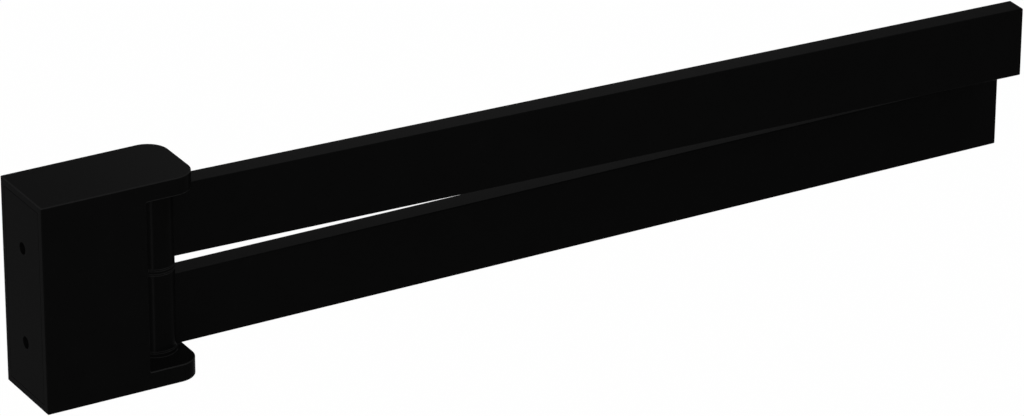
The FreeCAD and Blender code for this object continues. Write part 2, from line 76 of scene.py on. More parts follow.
EDGE_STEPS = 4        # faces across an eased edge
CORNER_STEPS = 24     # faces round a front corner of the fork
TURNED_SIDES = 96     # faces round a turned piece
HOLE_SIDES = 48       # faces round a screw or its hole
SHARP_ANGLE = math.radians(40)  # faces that meet at more than this keep their edge
OVERRUN = 1 * MM      # how far a cut runs past a face
WELD = 0.001 * MM     # points closer than this become one
LEAST_RADIUS = 10 * WELD  # of a sharp corner in a loop, so that all loops have as many points
# Faces marked with this get the paler edge colour: a painted highlight where light from above catches the
# level eased edges.
EDGE_HIGHLIGHT_MARK = "eased_edge"
HIGHLIGHT_EDGE_WIDTH = 0.18 * MM  # faces narrower than this belong to an eased edge that can get the painted highlight
HIGHLIGHT_EDGE_TILT = (0.1, 0.99)  # least and most upright part of such a face's normal: only edges that run level, where light from above catches them, get the painted highlight
SHINE = 0.0023        # share of a paint's usual shine: the black stays deep in front of a white room
RIPPLE = 0.01 * MM    # height of the waves and pebbles in a surface

SENSOR_WIDTH = 36.0   # of the camera, in millimetres like its lens
FLOOR_REACH = 6.0     # from the rail to each side of the floor
FLOOR_THICKNESS = 0.02
FLOOR_WHITE = 0.985   # share of plain white in the floor that the camera sees
ROOM_LIGHT = 0.26     # strength of the room's light on the rail, beside the lamps
# Name, direction, size, level that a white card square to the lamp shows, shadow and gloss. Lamps without
# shadow reach into the hinge, and the one without gloss only fills the sides that face the room.
LAMPS = (("overhead_softbox", (-0.2, -0.45, 0.87), 1.1, 0.23, True, True),
         ("wall_side_softbox", (-0.42, 0.74, 0.53), 2.1, 0.38, False, True),
         ("hinge_strip", (-0.752, 0.503, -0.426), 0.5, 0.17, False, True),
         ("room_side_softbox", (0.84, -0.53, 0.1), 2.1, 0.45, True, False),
         ("bar_sheen_card", (0.792, -0.449, 0.404), 0.75, 0.0135, True, True))


def span(node, axis):
    """How far a CAD node reaches along an axis."""
    low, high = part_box(node)
    return high[axis] - low[axis]


def levels(node):
    """Lowest and highest level of a CAD node."""
    low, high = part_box(node)
    return low.z, high.z


def bar_level(side):
    """Level of the middle of an arm's bar."""
    return sum(levels(side + "_bar")) / 2


def rest_turn(side):
    """Angle of an arm at rest from straight out: its limits lie evenly about straight out."""
    low, high = JOINTS[side + "_arm_swing"]["range_deg"]
    return math.radians(-(low + high) / 2)


def linear(code):
    """Linear red, green and blue of an sRGB hex value."""
    shares = [int(code[start:start + 2], 16) / 255 for start in (1, 3, 5)]
    return [share / 12.92 if share <= 0.04045 else ((share + 0.055) / 1.055) ** 2.4 for share in shares]


def length(name, description, default):
    """A property for one size."""
    return FloatProperty(name=name, description=description, default=default, min=0.0, precision=5,
                         subtype="DISTANCE", unit="LENGTH")


def colour(name, description, code):
    """A property for one colour."""
    return FloatVectorProperty(name=name, description=description, default=linear(code), size=3, min=0.0,
                               max=1.0, subtype="COLOR")


class RailBlockSizes(PropertyGroup):
    """Sizes of the fork block."""
    width: length("Width", "Block from side to side", span("fork_block", X))
    depth: length("Depth", "Wall to the front of the lugs", span("fork_block", Y))
    height: length("Height", "Block from bottom to top", span("fork_block", Z))
    web_depth: length("Web depth", "Wall to the floor of the notch", 44.4 * MM)
    notch_height: length("Notch height", "Clear height between the lugs", 2 * levels("top_washer")[1])
    corner_radius: length("Corner radius", "Upright front corners of the lugs", 9.2 * MM)
    notch_radius: length("Notch radius", "Inner corners of the notch", 0.5 * MM)
    edge_radius: length("Edge radius", "Broken outer edges under the coat", 0.4 * MM)
    mouth_chamfer: length("Mouth chamfer", "Mouths of the bores in the underside", 0.3 * MM)
    pin_skin: length("Pin skin", "Upper lug left above the pin", 3.0 * MM)


class RailPlateSizes(PropertyGroup):
    """Sizes of the wall plate and of its pocket in the block."""
    rim: length("Rim", "Block wall left around the plate", 3.0 * MM)
    clearance: length("Clearance", "Gap around the plate and its boss", 0.15 * MM)
    flange: length("Flange", "Thickness of the plate's flange", 3.0 * MM)
    boss_width: length("Boss width", "Boss from side to side", 20.0 * MM)
    boss_height: length("Boss height", "Boss from bottom to top", 60.0 * MM)
    edge_radius: length("Edge radius", "Edges of the plate", 0.15 * MM)
    screw_spacing: length("Screw spacing", "Between the wall screws", SCREW_PATTERN["spacing_y_mm"] * MM)
    screw_hole: length("Screw hole", "Diameter of the wall screw holes", 2 * SCREW_PATTERN["hole_r_mm"] * MM)
    screw_head: length("Screw head", "Diameter of the countersinks", 9.6 * MM)


class RailHingeSizes(PropertyGroup):
    """Sizes of the pin, the washers, the bushes and the screws of the bracket."""
    pin: length("Pin", "Diameter of the hinge pin", span("hinge_pin", X))
    pin_chamfer: length("Pin chamfer", "Ends of the hinge pin", 0.5 * MM)
    bore: length("Bore", "Diameter of the holes in washers and bushes", 8.1 * MM)
    sleeve: length("Sleeve", "Diameter of a bush inside the barrel", 10.1 * MM)
    flange: length("Flange", "Thickness of a bush's flange", 0.7 * MM)
    washer: length("Washer", "Diameter of the thrust washers", span("middle_washer", X))
    foot: length("Foot", "Diameter of the bottom washer's foot", span("bottom_washer", X))
    foot_height: length("Foot height", "Thickness of that foot", 0.4 * MM)
    edge_radius: length("Edge radius", "Edges of washers, flanges and barrels", 0.15 * MM)
    seat: length("Seat", "Gap of a tight seat", 0.02 * MM)
    socket_depth: length("Socket depth", "Hexagon sockets", 2.0 * MM)
    screw_chamfer: length("Screw chamfer", "Ends of the screws", 0.3 * MM)
    plug_flats: length("Plug flats", "Socket of the plug across flats", 5.0 * MM)
    grub_flats: length("Grub flats", "Socket of the bracket's grub screw across flats", 2.5 * MM)


class RailArmSizes(PropertyGroup):
    """Sizes of the two swinging arms."""
    barrel: length("Barrel", "Diameter of the hinge barrel", span("lower_knuckle", X))
    bar_height: length("Bar height", "Upright size of the bar", span("lower_bar", Z))
    bar_thickness: length("Bar thickness", "Flat size of the bar", span("lower_bar", X))
    bar_wall: length("Bar wall", "Wall of the bar's tube", 1.5 * MM)
    bar_length: length("Bar length", "Tube of a bar", span("lower_bar", Y))
    bar_start: length("Bar start", "Hinge axis to the tube", HINGE.y - BAR[1].y)
    tenon_end: length("Tenon end", "Hinge axis to the end of the tenon", HINGE.y - KNUCKLE[0].y)
    core_clearance: length("Core clearance", "Gap around the tenon and the cap's plug", 0.05 * MM)
    edge_radius: length("Edge radius", "Long edges of the bar", 0.5 * MM)
    cap: length("Cap", "Plate of the end cap", BAR[0].y - CAP[0].y)
    cap_plug: length("Cap plug", "Plug of the end cap", CAP[1].y - BAR[0].y)
    cap_wall: length("Cap wall", "Wall of the end cap's plug", 1.2 * MM)
    screw: length("Screw", "Diameter of the set screws", span("lower_bar_screws", X))
    screw_inset: length("Screw inset", "Start of the tube to the first set screw", 10.0 * MM)
    screw_pitch: length("Screw pitch", "Between the two set screws", 14.0 * MM)
    screw_flats: length("Screw flats", "Sockets of the set screws across flats", 2.0 * MM)


class RailFinishes(PropertyGroup):
    """Colours of the finishes."""
    coat: colour("Coat", "Powder coat of block and arms", "#0b0b0b")
    # The edge colour is a painted highlight, laid on the level eased edges that smoothed() marks.
    edge: colour("Edge", "Painted highlight along level eased edges", "#1f1f1f")
    plate: colour("Plate", "Paint on the wall plate", "#0b0b0b")
    nylon: colour("Nylon", "Washers, bushes and end caps", "#0b0b0b")
    oxide: colour("Oxide", "Blackened screws", "#26272a")
    steel: colour("Steel", "Ground hinge pin", "#b9bbbd")
    floor: colour("Floor", "Floor of the studio", "#f4f4f3")


class RailStudio(PropertyGroup):
    """Camera and light of the picture."""
    eye: FloatVectorProperty(name="Eye", description="Camera's place", default=(-1.7373, 0.8007, 0.9097),
                             size=3, subtype="TRANSLATION", unit="LENGTH")
    aim: FloatVectorProperty(name="Aim", description="Point in the middle of the picture",
                             default=(-0.0233, -0.2029, 0.0), size=3, subtype="TRANSLATION", unit="LENGTH")
    roll: FloatProperty(name="Roll", description="Turn of the camera about its view", subtype="ANGLE",
                        default=math.radians(0.216))
    lens: FloatProperty(name="Lens", description="Focal length in millimetres", default=193.5, min=1.0)
    lamp_distance: length("Lamp distance", "Lamps to the middle of the picture", 4.0)
    floor_drop: length("Floor drop", "Middle of the rail to the floor", 0.55)


def add(tree, kind, inputs=None, **settings):
    """Adds a node with its settings; an input is a value, a socket, or a node for its first result."""
    node = tree.nodes.new(kind)
    for name, value in settings.items():
        setattr(node, name, value)
    for key, value in (inputs or {}).items():
        for item in value if isinstance(value, list) else [value]:
            if isinstance(item, Node):
                item = next(socket for socket in item.outputs if socket.enabled)
            if isinstance(item, NodeSocket):
                tree.links.new(item, node.inputs[key])
            else:
                node.inputs[key].default_value = item
    return node


def new_material(name):
    """An empty material: its tree, and the object coordinates that its patterns read."""
    material = bpy.data.materials.new(name)
    material.use_nodes = True
    tree = material.node_tree
    tree.nodes.clear()
    return material, tree, add(tree, "ShaderNodeTexCoord").outputs["Object"]


def shades(tint, *shares):
    """Shares of one colour, each as a value for a colour socket."""
    return [(*[share * part for part in tint], 1) for share in shares]


def with_edge_highlight(tree, tone, edge):
    """A tone over the whole piece, with the paler edge colour painted along the eased edges that smoothed()
    marks, as a painted highlight.
    """
    highlight_mask = add(tree, "ShaderNodeAttribute", attribute_name=EDGE_HIGHLIGHT_MARK).outputs["Fac"]
    return add(tree, "ShaderNodeMix", {"Factor": highlight_mask, "A": tone, "B": (*edge, 1)}, data_type="RGBA")


def powder_coat(finish):
    """Polyester powder, baked on aluminium: matt black, a little uneven, with a painted highlight along its
    level eased edges.
    """
    material, tree, place = new_material("matt_black_powder_coat")
    # The powder melts into a skin with faint waves about 1.5 mm apart. Its grain is too fine to be drawn.
    wave = add(tree, "ShaderNodeTexNoise", {"Vector": place, "Scale": 1 / (1.5 * MM), "Detail": 2.0})
    cloud = add(tree, "ShaderNodeTexNoise", {"Vector": place, "Scale": 1 / (16 * MM), "Detail": 3.0})
    dark, light = shades(finish.coat, 0.9, 1.1)
    tone = add(tree, "ShaderNodeMix", {"Factor": cloud, "A": dark, "B": light}, data_type="RGBA")
    shader = add(tree, "ShaderNodeBsdfPrincipled", {
        "Base Color": with_edge_highlight(tree, tone, finish.edge), "Specular IOR Level": SHINE,
        "Roughness": add(tree, "ShaderNodeMapRange", {"Value": cloud, "To Min": 0.2, "To Max": 0.24}),
        "Normal": add(tree, "ShaderNodeBump", {"Height": wave, "Strength": 0.2, "Distance": RIPPLE})})
    add(tree, "ShaderNodeOutputMaterial", {"Surface": shader})
    return material


def plate_paint(finish):
    """Wet paint sprayed on a steel plate: as black as the coat and flatter, with no waves in it."""
    material, tree, place = new_material("matt_black_sprayed_paint")
    mist = add(tree, "ShaderNodeTexNoise", {"Vector": place, "Scale": 1 / (3 * MM), "Detail": 4.0})
    dark, light = shades(finish.plate, 0.92, 1.08)
    tone = add(tree, "ShaderNodeMix", {"Factor": mist, "A": dark, "B": light}, data_type="RGBA")
    shader = add(tree, "ShaderNodeBsdfPrincipled", {
        "Base Color": tone,
        "Roughness": add(tree, "ShaderNodeMapRange", {"Value": mist, "To Min": 0.34, "To Max": 0.38}),
        "Specular IOR Level": SHINE})
    add(tree, "ShaderNodeOutputMaterial", {"Surface": shader})
    return material


def moulded_nylon(finish):
    """Nylon moulded in a spark-eroded die: dead matt, faintly pebbled, with a painted highlight along its
    level eased edges.
    """
    material, tree, place = new_material("black_moulded_nylon")
    # The die's pebbles are about 0.1 mm wide. They are drawn at 0.4 mm, the finest that a picture can show.
    pebble = add(tree, "ShaderNodeTexVoronoi", {"Vector": place, "Scale": 1 / (0.4 * MM)})
    shader = add(tree, "ShaderNodeBsdfPrincipled", {
        "Base Color": with_edge_highlight(tree, (*finish.nylon, 1), finish.edge), "Specular IOR Level": SHINE,
        "Roughness": add(tree, "ShaderNodeMapRange", {"Value": pebble, "To Min": 0.38, "To Max": 0.46}),
        "Normal": add(tree, "ShaderNodeBump", {"Height": pebble, "Strength": 0.15, "Distance": RIPPLE})})
    add(tree, "ShaderNodeOutputMaterial", {"Surface": shader})
    return material


def black_oxide(finish):
    """Steel blackened in a hot salt bath and oiled: a dark, slightly blotched metal with a soft shine."""
    material, tree, place = new_material("black_oxide_steel")
    blotch = add(tree, "ShaderNodeTexNoise", {"Vector": place, "Scale": 1 / (1.2 * MM), "Detail": 3.0})
    dark, light = shades(finish.oxide, 0.7, 1.0)
    tone = add(tree, "ShaderNodeMix", {"Factor": blotch, "A": dark, "B": light}, data_type="RGBA")
    shader = add(tree, "ShaderNodeBsdfPrincipled", {
        "Base Color": tone,
        "Roughness": add(tree, "ShaderNodeMapRange", {"Value": blotch, "To Min": 0.35, "To Max": 0.5}),
        "Metallic": 1.0})
    add(tree, "ShaderNodeOutputMaterial", {"Surface": shader})
    return material


def ground_steel(finish):
    """Steel rod ground between centres: bright metal with fine rings round it that stretch its shine."""
    material, tree, place = new_material("ground_steel_rod")
    # The rings are a few hundredths of a millimetre apart and are drawn at 0.3 mm.
    ring = add(tree, "ShaderNodeTexWave", {
        "Vector": place, "Scale": 1 / (0.3 * MM) / math.tau, "Distortion": 1.5, "Detail": 2.0},
        bands_direction="Z").outputs["Fac"]
    shader = add(tree, "ShaderNodeBsdfPrincipled", {
        "Base Color": (*finish.steel, 1), "Metallic": 1.0,
        "Roughness": add(tree, "ShaderNodeMapRange", {"Value": ring, "To Min": 0.22, "To Max": 0.34})})
    add(tree, "ShaderNodeOutputMaterial", {"Surface": shader})
    return material


FINISHES = {"black_coat": powder_coat, "black_plate": plate_paint, "black_nylon": moulded_nylon,
            "black_screws": black_oxide, "steel_pin": ground_steel}
made_finishes = {}


def finish_of(slot):
    """The material of a slot of the record, made when it is first asked for."""
    if slot not in made_finishes:
        made_finishes[slot] = FINISHES[slot](bpy.context.scene.rail_finishes)
    return made_finishes[slot]


def filleted(corners, radius, steps):
    """A flat closed outline with rounded corners; the radius is one value or one for each corner."""
    radii = radius if isinstance(radius, (list, tuple)) else [radius] * len(corners)
    outline = []
    for index, (corner, size) in enumerate(zip(corners, radii)):
        corner = Vector(corner)
        if not size:
            outline.append(corner)
            continue
        back = (Vector(corners[index - 1]) - corner).normalized()
        ahead = (Vector(corners[(index + 1) % len(corners)]) - corner).normalized()
        half = back.angle(ahead) / 2
        centre = corner + (back + ahead).normalized() * size / math.sin(half)
        first = (corner + back * size / math.tan(half) - centre).normalized()
        last = (corner + ahead * size / math.tan(half) - centre).normalized()
        outline += [centre + first.slerp(last, step / steps) * size for step in range(steps + 1)]
    return outline


def eased(radius):
    """Insets and rises of the loops round an eased edge, from the flat face to the side."""
    angles = [math.pi / 2 * step / EDGE_STEPS for step in range(EDGE_STEPS + 1)]
    return [(radius * (1 - math.sin(angle)), radius * (1 - math.cos(angle))) for angle in angles]


def lofted(loops, closed=False):
    """A skin through loops of as many points each: closed into a ring, or else capped at both ends."""
    shape = bmesh.new()
    rows = [[shape.verts.new(point) for point in loop] for loop in loops]
    if not closed:
        shape.faces.new(rows[0])
        shape.faces.new(rows[-1])
    for here, there in zip(rows, rows[1:] + rows[:1] if closed else rows[1:]):
        for index in range(len(here)):
            shape.faces.new((here[index - 1], here[index], there[index], there[index - 1]))
    bmesh.ops.recalc_face_normals(shape, faces=shape.faces)
    return shape


def box(low, high):
    """A plain box between two corners, for cuts."""
    loops = [[(low[X], low[Y], level), (high[X], low[Y], level), (high[X], high[Y], level),
              (low[X], high[Y], level)] for level in (low[Z], high[Z])]
    return lofted(loops)


def turned(profile, place=None, closed=False, sides=TURNED_SIDES):
    """A shape turned about the upright axis from points of radius and height, then set in its place."""
    angles = [math.tau * step / sides for step in range(sides)]
    shape = lofted([[(radius * math.cos(angle), radius * math.sin(angle), height) for angle in angles]
                    for radius, height in profile], closed)
    shape.transform(place or Matrix.Translation(HINGE))
    return shape


def flat_loop(half_width, half_height, radius, y, middle=0.0):
    """A rounded upright rectangle across the rail, as a loop at one distance from the wall."""
    corners = [(-half_width, -half_height), (half_width, -half_height), (half_width, half_height),
               (-half_width, half_height)]
    return [(x, y, middle + z) for x, z in filleted(corners, max(radius, LEAST_RADIUS), EDGE_STEPS)]


def as_object(shape):
    """Puts a shape into the scene for a while."""
    mesh = bpy.data.meshes.new("work")
    shape.to_mesh(mesh)
    shape.free()
    item = bpy.data.objects.new("work", mesh)
    bpy.context.scene.collection.objects.link(item)
    return item


def plain_mesh(item):
    """The plain mesh of an object with its modifiers, which are then gone with the object."""
    bpy.context.view_layer.update()
    graph = bpy.context.evaluated_depsgraph_get()
    mesh = bpy.data.meshes.new_from_object(item.evaluated_get(graph), depsgraph=graph)
    bpy.data.objects.remove(item)
    return mesh


def carved(shape, joined=(), cuts=()):
    """A mesh of a shape with others joined to it and then others cut out of it."""
    item = as_object(shape)
    tools = [(as_object(tool), "UNION") for tool in joined]
    tools += [(as_object(tool), "DIFFERENCE") for tool in cuts]
    for tool, operation in tools:
        modifier = item.modifiers.new(operation, "BOOLEAN")
        modifier.object = tool
        modifier.operation = operation
        modifier.solver = "EXACT"
    mesh = plain_mesh(item)
    for tool, _ in tools:
        bpy.data.objects.remove(tool)
    return mesh


def joined_mesh(shapes):
    """One mesh of several shapes that don't touch."""
    both = bmesh.new()
    for shape in shapes:
        mesh = bpy.data.meshes.new("work")
        shape.to_mesh(mesh)
        shape.free()
        both.from_mesh(mesh)
    return plain_mesh(as_object(both))


def smoothed(mesh):
    """Smooth shading that keeps flat faces flat and sharp edges sharp, with narrow level edges marked for a
    painted highlight.
    """
    shape = bmesh.new()
    shape.from_mesh(mesh)
    bmesh.ops.remove_doubles(shape, verts=shape.verts, dist=WELD)
    bmesh.ops.dissolve_degenerate(shape, edges=shape.edges, dist=WELD)
    highlight_mask = shape.faces.layers.float.new(EDGE_HIGHLIGHT_MARK)
    for face in shape.faces:
        face.smooth = True
        width = face.calc_area() / max(edge.calc_length() for edge in face.edges)
        # Narrow level faces get the painted highlight.
        face[highlight_mask] = width < HIGHLIGHT_EDGE_WIDTH and HIGHLIGHT_EDGE_TILT[0] < abs(face.normal.z) < HIGHLIGHT_EDGE_TILT[1]
    for edge in shape.edges:
        edge.smooth = edge.is_manifold and edge.calc_face_angle() < SHARP_ANGLE
    item = as_object(shape)
    modifier = item.modifiers.new("Normals", "WEIGHTED_NORMAL")
    modifier.keep_sharp = True
    return plain_mesh(item)


def show(name, mesh, body, slot, *nodes):
    """Shows a finished mesh as a piece that moves with a body and stands for CAD nodes."""
    mesh = smoothed(mesh)
    mesh.name = name
    mesh.materials.clear()
    mesh.materials.append(finish_of(slot))
    piece = bpy.data.objects.new(name, mesh)
    bpy.context.scene.collection.objects.link(piece)
    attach(piece, body)
    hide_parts(*nodes)


def start_tree(name, *sizes):
    """A new geometry tree with a material and named sizes as inputs, and those inputs by name."""
    tree = bpy.data.node_groups.new(name, "GeometryNodeTree")
    tree.interface.new_socket("Mesh", in_out="OUTPUT", socket_type="NodeSocketGeometry")
    tree.interface.new_socket("Material", in_out="INPUT", socket_type="NodeSocketMaterial")
    for size in sizes:
        kind = "NodeSocketInt" if size == "Count" else "NodeSocketFloat"
        tree.interface.new_socket(size, in_out="INPUT", socket_type=kind)
    return tree, add(tree, "NodeGroupInput").outputs


def end_tree(tree, instances, material):
    """Realises the instances, gives them the material and hands them out."""
    solid = add(tree, "GeometryNodeRealizeInstances", {"Geometry": instances})
    dressed = add(tree, "GeometryNodeSetMaterial", {"Geometry": solid, "Material": material})
    add(tree, "NodeGroupOutput", {"Mesh": dressed})
    return tree


def grown(tree, slot, values):
    """The plain mesh that a tree makes from its named inputs."""
    item = as_object(bmesh.new())
    modifier = item.modifiers.new("Nodes", "NODES")
    modifier.node_group = tree
    sockets = {socket.name: socket.identifier for socket in tree.interface.items_tree}
    for name, value in {"Material": finish_of(slot), **values}.items():
        modifier[sockets[name]] = value
    return plain_mesh(item)


def in_row(tree, size, piece, start=(0, 0, 0)):
    """Instances of a piece in a row along -Y, with the count and pitch that the tree's inputs give."""
    stride = add(tree, "ShaderNodeCombineXYZ", {
        "Y": add(tree, "ShaderNodeMath", {0: size["Pitch"], 1: -1.0}, operation="MULTIPLY")})
    row = add(tree, "GeometryNodeMeshLine", {
        "Count": size["Count"], "Start Location": start, "Offset": stride})
    return add(tree, "GeometryNodeInstanceOnPoints", {"Points": row, "Instance": piece})


def tube_tree():
    """A rectangular tube with eased long edges and a row of holes in its underside, out along -Y."""
    tree, size = start_tree("rail tube", "Thickness", "Height", "Wall", "Edge Radius", "Length", "Hole",
                            "Inset", "Pitch", "Count")
    hole, wall = size["Hole"], size["Wall"]
    outside = add(tree, "GeometryNodeCurvePrimitiveQuadrilateral", {
        "Width": size["Thickness"], "Height": size["Height"]})
    skin = add(tree, "GeometryNodeFilletCurve", {
        "Curve": outside, "Radius": size["Edge Radius"], "Count": EDGE_STEPS}, mode="POLY")
    width = add(tree, "ShaderNodeMath", {0: wall, 1: -2.0, 2: size["Thickness"]}, operation="MULTIPLY_ADD")
    height = add(tree, "ShaderNodeMath", {0: wall, 1: -2.0, 2: size["Height"]}, operation="MULTIPLY_ADD")
    inside = add(tree, "GeometryNodeCurvePrimitiveQuadrilateral", {"Width": width, "Height": height})
    outlines = add(tree, "GeometryNodeJoinGeometry", {"Geometry": [skin, inside]})
    end = add(tree, "GeometryNodeFillCurve", {"Curve": outlines}, mode="NGONS")
    walls = add(tree, "GeometryNodeExtrudeMesh", {
        "Mesh": end, "Offset Scale": size["Length"], "Individual": False})
    start = add(tree, "GeometryNodeFlipFaces", {"Mesh": end})
    parts = add(tree, "GeometryNodeJoinGeometry", {"Geometry": [walls, start]})
    tube = add(tree, "GeometryNodeMergeByDistance", {"Geometry": parts, "Distance": WELD})
    laid = add(tree, "GeometryNodeTransform", {"Geometry": tube, "Rotation": (math.pi / 2, 0, 0)})

    drill = add(tree, "GeometryNodeMeshCylinder", {
        "Vertices": HOLE_SIDES,
        "Radius": add(tree, "ShaderNodeMath", {0: hole, 1: 0.5}, operation="MULTIPLY"),
        "Depth": add(tree, "ShaderNodeMath", {0: wall, 1: 3.0}, operation="MULTIPLY")})
    first = add(tree, "ShaderNodeCombineXYZ", {
        "Y": add(tree, "ShaderNodeMath", {0: size["Inset"], 1: -1.0}, operation="MULTIPLY"),
        "Z": add(tree, "ShaderNodeMath", {0: size["Height"], 1: -0.5}, operation="MULTIPLY")})
    solid = add(tree, "GeometryNodeRealizeInstances", {"Geometry": in_row(tree, size, drill, first)})
    drilled = add(tree, "GeometryNodeMeshBoolean", {"Mesh 1": laid, "Mesh 2": solid}, operation="DIFFERENCE",
                  solver="EXACT")
    return end_tree(tree, drilled, size["Material"])


def screw_tree():
    """A row of headless screws along -Y, each upright with a hexagon socket in its lower end."""
    tree, size = start_tree("socket screws", "Diameter", "Length", "Chamfer", "Flats", "Socket Depth",
                            "Pitch", "Count")
    chamfer = size["Chamfer"]
    radius = add(tree, "ShaderNodeMath", {0: size["Diameter"], 1: 0.5}, operation="MULTIPLY")
    tip = add(tree, "ShaderNodeMath", {0: radius, 1: chamfer}, operation="SUBTRACT")
    shank = add(tree, "ShaderNodeMath", {0: chamfer, 1: -2.0, 2: size["Length"]}, operation="MULTIPLY_ADD")
    disc = add(tree, "GeometryNodeMeshCircle", {"Vertices": HOLE_SIDES, "Radius": tip}, fill_type="NGON")
    flare = add(tree, "GeometryNodeExtrudeMesh", {
        "Mesh": disc, "Offset Scale": chamfer, "Individual": False})
    full = add(tree, "GeometryNodeScaleElements", {
        "Geometry": flare, "Selection": flare.outputs["Top"],
        "Scale": add(tree, "ShaderNodeMath", {0: radius, 1: tip}, operation="DIVIDE")})
    body = add(tree, "GeometryNodeExtrudeMesh", {
        "Mesh": full, "Selection": flare.outputs["Top"], "Offset Scale": shank, "Individual": False})
    top = add(tree, "GeometryNodeExtrudeMesh", {
        "Mesh": body, "Selection": body.outputs["Top"], "Offset Scale": chamfer, "Individual": False})
    point = add(tree, "GeometryNodeScaleElements", {
        "Geometry": top, "Selection": top.outputs["Top"],
        "Scale": add(tree, "ShaderNodeMath", {0: tip, 1: radius}, operation="DIVIDE")})
    under = add(tree, "GeometryNodeFlipFaces", {"Mesh": disc})
    parts = add(tree, "GeometryNodeJoinGeometry", {"Geometry": [point, under]})
    blank = add(tree, "GeometryNodeMergeByDistance", {"Geometry": parts, "Distance": WELD})

    corner = add(tree, "ShaderNodeMath", {0: size["Flats"], 1: math.sqrt(3)}, operation="DIVIDE")
    depth = add(tree, "ShaderNodeMath", {0: size["Socket Depth"], 1: 2.0}, operation="MULTIPLY")
    key = add(tree, "GeometryNodeMeshCylinder", {"Vertices": 6, "Radius": corner, "Depth": depth})
    screw = add(tree, "GeometryNodeMeshBoolean", {"Mesh 1": blank, "Mesh 2": key}, operation="DIFFERENCE",
                solver="EXACT")
    return end_tree(tree, in_row(tree, size, screw), size["Material"])


def washer_tree():
    """The flat washers on one upright axis: rings of a rounded section, each at its own level."""
    own = [f"{name} {size}" for name in FLAT_WASHERS for size in ("Level", "Thickness")]
    tree, size = start_tree("flat washers", "Diameter", "Bore", "Edge Radius", *own)
    outer, bore = size["Diameter"], size["Bore"]
    both = add(tree, "ShaderNodeMath", {0: outer, 1: bore}, operation="ADD")
    rest = add(tree, "ShaderNodeMath", {0: outer, 1: bore}, operation="SUBTRACT")
    middle = add(tree, "ShaderNodeMath", {0: both, 1: 0.25}, operation="MULTIPLY")
    wall = add(tree, "ShaderNodeMath", {0: rest, 1: 0.5}, operation="MULTIPLY")
    circle = add(tree, "GeometryNodeCurvePrimitiveCircle", {"Resolution": TURNED_SIDES, "Radius": middle})
    path = add(tree, "GeometryNodeSetCurveNormal", {"Curve": circle}, mode="Z_UP")
    rings = []
    for name in FLAT_WASHERS:
        section = add(tree, "GeometryNodeCurvePrimitiveQuadrilateral", {
            "Width": wall, "Height": size[name + " Thickness"]})
        soft = add(tree, "GeometryNodeFilletCurve", {
            "Curve": section, "Radius": size["Edge Radius"], "Count": EDGE_STEPS}, mode="POLY")
        ring = add(tree, "GeometryNodeCurveToMesh", {"Curve": path, "Profile Curve": soft})
        height = add(tree, "ShaderNodeCombineXYZ", {"Z": size[name + " Level"]})
        rings.append(add(tree, "GeometryNodeTransform", {"Geometry": ring, "Translation": height}))
    return end_tree(tree, add(tree, "GeometryNodeJoinGeometry", {"Geometry": rings}), size["Material"])


def arm_place(side, distance=0.0, level=0.0):
    """Where a piece of an arm goes: so far out from the hinge axis, at its level, turned as at rest."""
    return (Matrix.Translation(HINGE + Vector((0, 0, level))) @ Matrix.Rotation(rest_turn(side), 4, "Z")
            @ Matrix.Translation((0, -distance, 0)))


def screw_place(node, level=0.0):
    """Where an upright screw of the bracket goes: on the axis of its CAD node, at a level."""
    low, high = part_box(node)
    return Matrix.Translation((0, (low.y + high.y) / 2, level))


